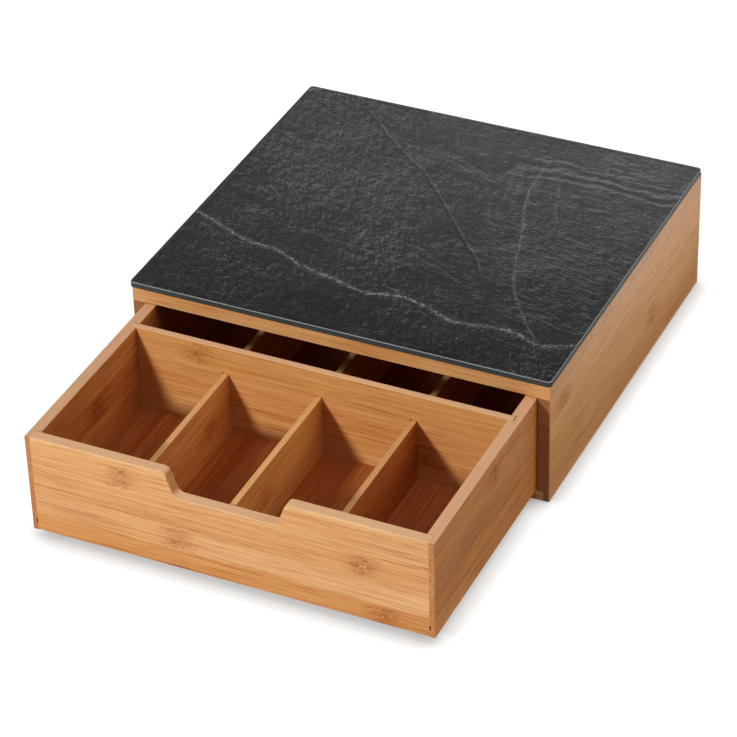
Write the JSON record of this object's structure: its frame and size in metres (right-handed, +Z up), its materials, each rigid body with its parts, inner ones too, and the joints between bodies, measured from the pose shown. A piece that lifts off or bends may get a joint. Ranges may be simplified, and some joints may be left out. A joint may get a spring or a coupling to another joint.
{
  "type": "tea bag drawer box",
  "caption": "Low bamboo tabletop chest with a slate-look glass top and a pull-out drawer divided into compartments for tea bags.",
  "frame": {"origin": "centre of the case's flat underside", "axes": "+X to the right seen from the front, -Y out of the drawer's front, +Z up"},
  "size_m": [0.312, 0.4575, 0.0978],
  "materials": {
    "bamboo_case": "caramelised bamboo, satin lacquer, fine straight grain",
    "bamboo_drawer": "caramelised bamboo, satin lacquer, fine straight grain",
    "bamboo_floor": "thin bamboo board, satin lacquer",
    "dowel_wood": "plain turned dowel",
    "clear_adhesive": "clear soft adhesive",
    "slate_look_print": "dark slate pattern printed on the underside of the glass",
    "clear_glass": "polished float glass with eased edges"
  },
  "bodies": {
    "case": {"case_left_side": "bamboo_case", "case_right_side": "bamboo_case", "case_top_board": "bamboo_case", "case_bottom_board": "bamboo_case", "case_back_panel": "bamboo_case", "top_board_dowels": "dowel_wood", "glass_adhesive_pads": "clear_adhesive", "slate_print": "slate_look_print", "glass_pane": "clear_glass"},
    "drawer": {"drawer_front": "bamboo_drawer", "drawer_left_side": "bamboo_drawer", "drawer_right_side": "bamboo_drawer", "drawer_back": "bamboo_drawer", "drawer_floor": "bamboo_floor", "cross_divider": "bamboo_drawer", "front_divider_1": "bamboo_drawer", "front_divider_2": "bamboo_drawer", "front_divider_3": "bamboo_drawer", "rear_divider_1": "bamboo_drawer", "rear_divider_2": "bamboo_drawer", "rear_divider_3": "bamboo_drawer"}
  },
  "joints": [
    {"name": "drawer_slide", "type": "slide", "parent": "case", "child": "drawer", "axis": [0, -1, 0], "range_m": [-0.1675, 0.0725]}
  ]
}
